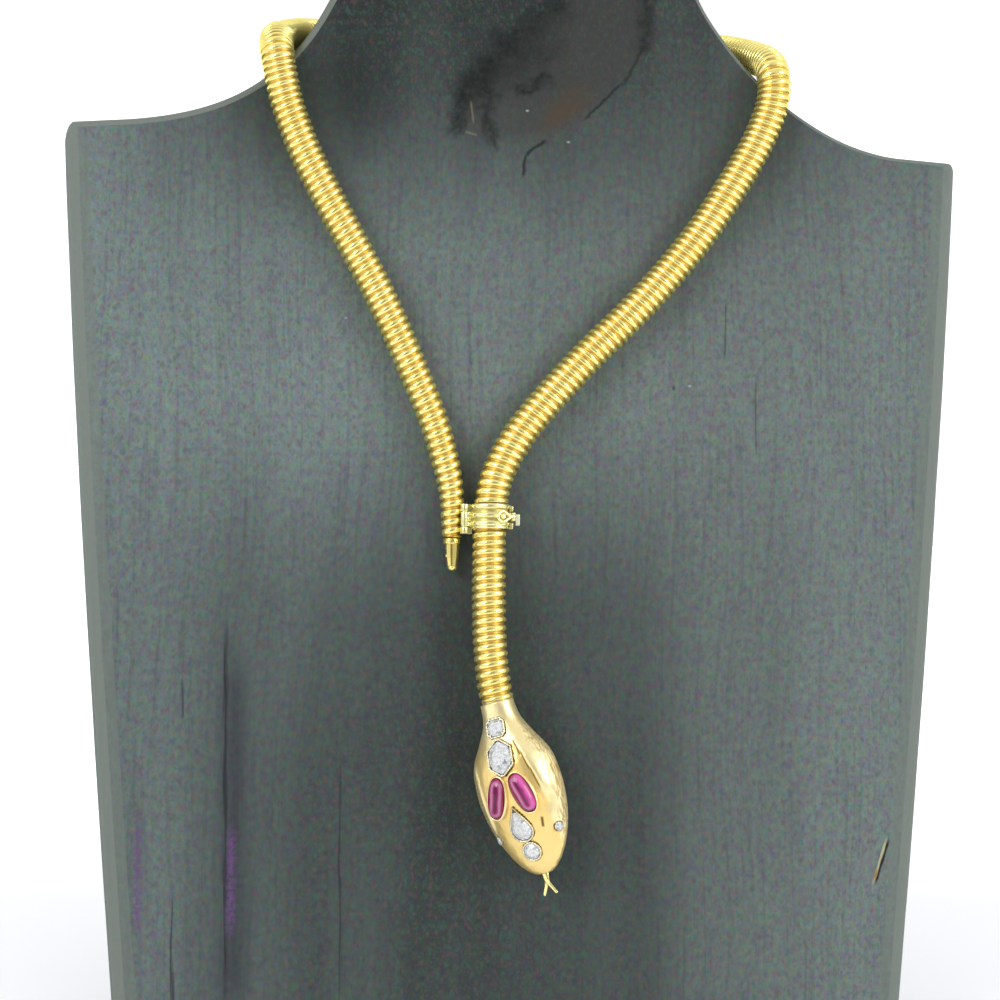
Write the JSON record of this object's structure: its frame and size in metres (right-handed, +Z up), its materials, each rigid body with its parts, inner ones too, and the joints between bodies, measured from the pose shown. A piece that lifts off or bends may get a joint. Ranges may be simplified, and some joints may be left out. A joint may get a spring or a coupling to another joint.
{
  "type": "snake necklace on a neck bust board",
  "caption": "Ridged flexible snake necklace with a gem-set head and hinged collar clasp, laid on a plain dark wooden neck bust board on a prop.",
  "frame": {"origin": "middle of the board's foot on the surface that it stands on", "axes": "+Z up, the board's front faces -Y, +X to the viewer's right"},
  "size_m": [0.1896, 0.1, 0.2299],
  "materials": {
    "stained_wood": "matt black-green stain over brushed grain",
    "yellow_gold": "polished, slightly worn yellow gold",
    "clasp_gold": "bright greenish yellow gold",
    "rose_gold": "polished and engraved rosy gold",
    "silver": "soft white metal",
    "diamond": "cut and polished clear stone",
    "ruby": "polished pink-red cabochon"
  },
  "bodies": {
    "necklace_and_board": {"neck_board": "stained_wood", "rear_prop": "stained_wood", "tail_side_tube": "yellow_gold", "head_side_tube": "yellow_gold", "tail_tip": "yellow_gold", "clasp_back": "clasp_gold", "hinge_pin": "clasp_gold", "press_tab": "clasp_gold", "snake_head": "rose_gold", "tongue": "yellow_gold", "square_setting": "silver", "square_diamond": "diamond", "hexagon_setting": "silver", "hexagon_diamond": "diamond", "pear_setting": "silver", "pear_diamond": "diamond", "round_setting": "silver", "round_diamond": "diamond", "ruby_left": "ruby", "ruby_right": "ruby", "eye_left": "diamond", "eye_right": "diamond"},
    "clasp_band": {"clasp_front": "clasp_gold"},
    "loop": {"safety_loop": "clasp_gold"}
  },
  "joints": [
    {"name": "band_swing", "type": "hinge", "parent": "necklace_and_board", "child": "clasp_band", "pos_m": [-0.011, 0.01472, 0.10941], "axis": [0, -0.2588, -0.9659], "range_deg": [0, 55]},
    {"name": "loop_swing", "type": "hinge", "parent": "necklace_and_board", "child": "loop", "pos_m": [-0.00095, 0.01245, 0.11002], "axis": [0, 0.2588, 0.9659], "range_deg": [0, 165]}
  ],
  "couplings": [
    {"joint": "loop_swing", "follows": "band_swing", "ratio": 3}
  ]
}
